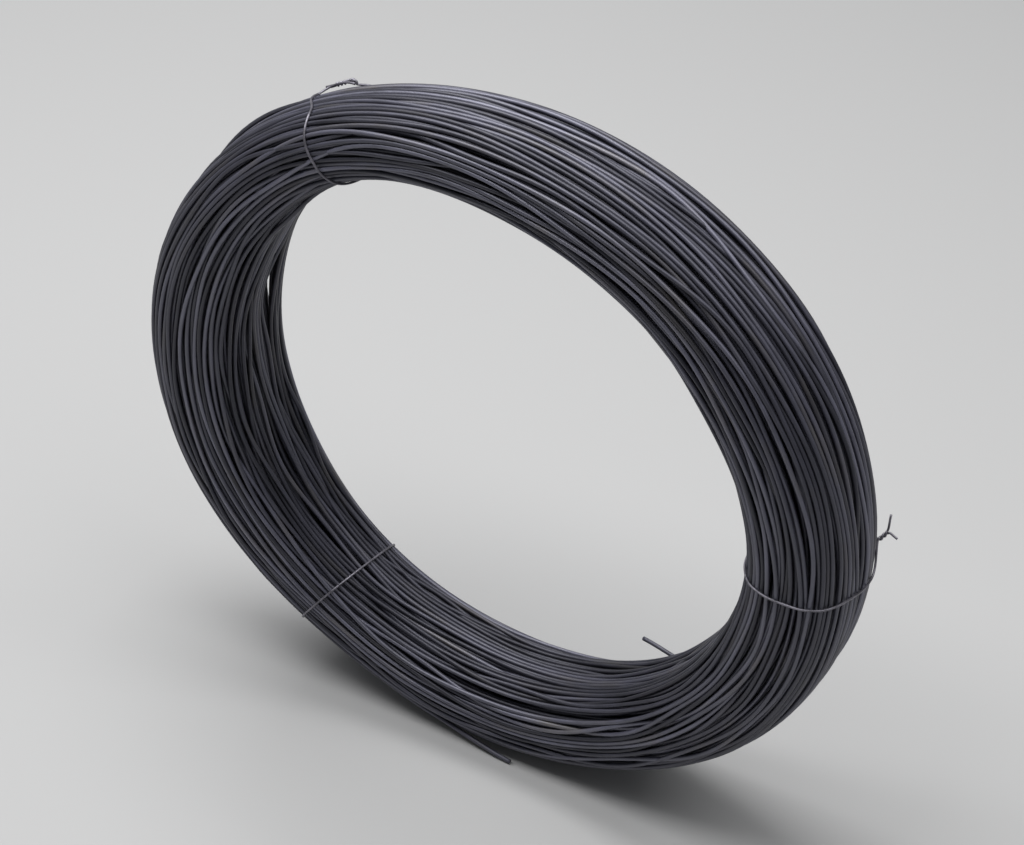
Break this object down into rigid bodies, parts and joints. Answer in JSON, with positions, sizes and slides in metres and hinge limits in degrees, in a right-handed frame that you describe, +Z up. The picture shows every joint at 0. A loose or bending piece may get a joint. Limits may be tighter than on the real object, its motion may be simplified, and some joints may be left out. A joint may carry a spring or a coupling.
{
  "type": "coil of steel wire",
  "caption": "Ring-shaped coil of black annealed steel wire standing on its rim, its turns held together by twisted wire ties, with a round open bore.",
  "frame": {"origin": "centre of the coil's bore, at the middle of its width", "axes": "+Y along the bore's axis towards the coil's back, +Z up as it stands on its rim, +X to the right seen from the front"},
  "size_m": [0.6933, 0.117, 0.67],
  "materials": {
    "annealed_wire": "dark annealed scale with a soft sheen",
    "tie_wire": "dull grey drawn wire"
  },
  "bodies": {
    "root": {"wire_coil": "annealed_wire", "tie_top": "tie_wire", "tie_side": "tie_wire", "tie_low": "tie_wire"}
  },
  "joints": []
}
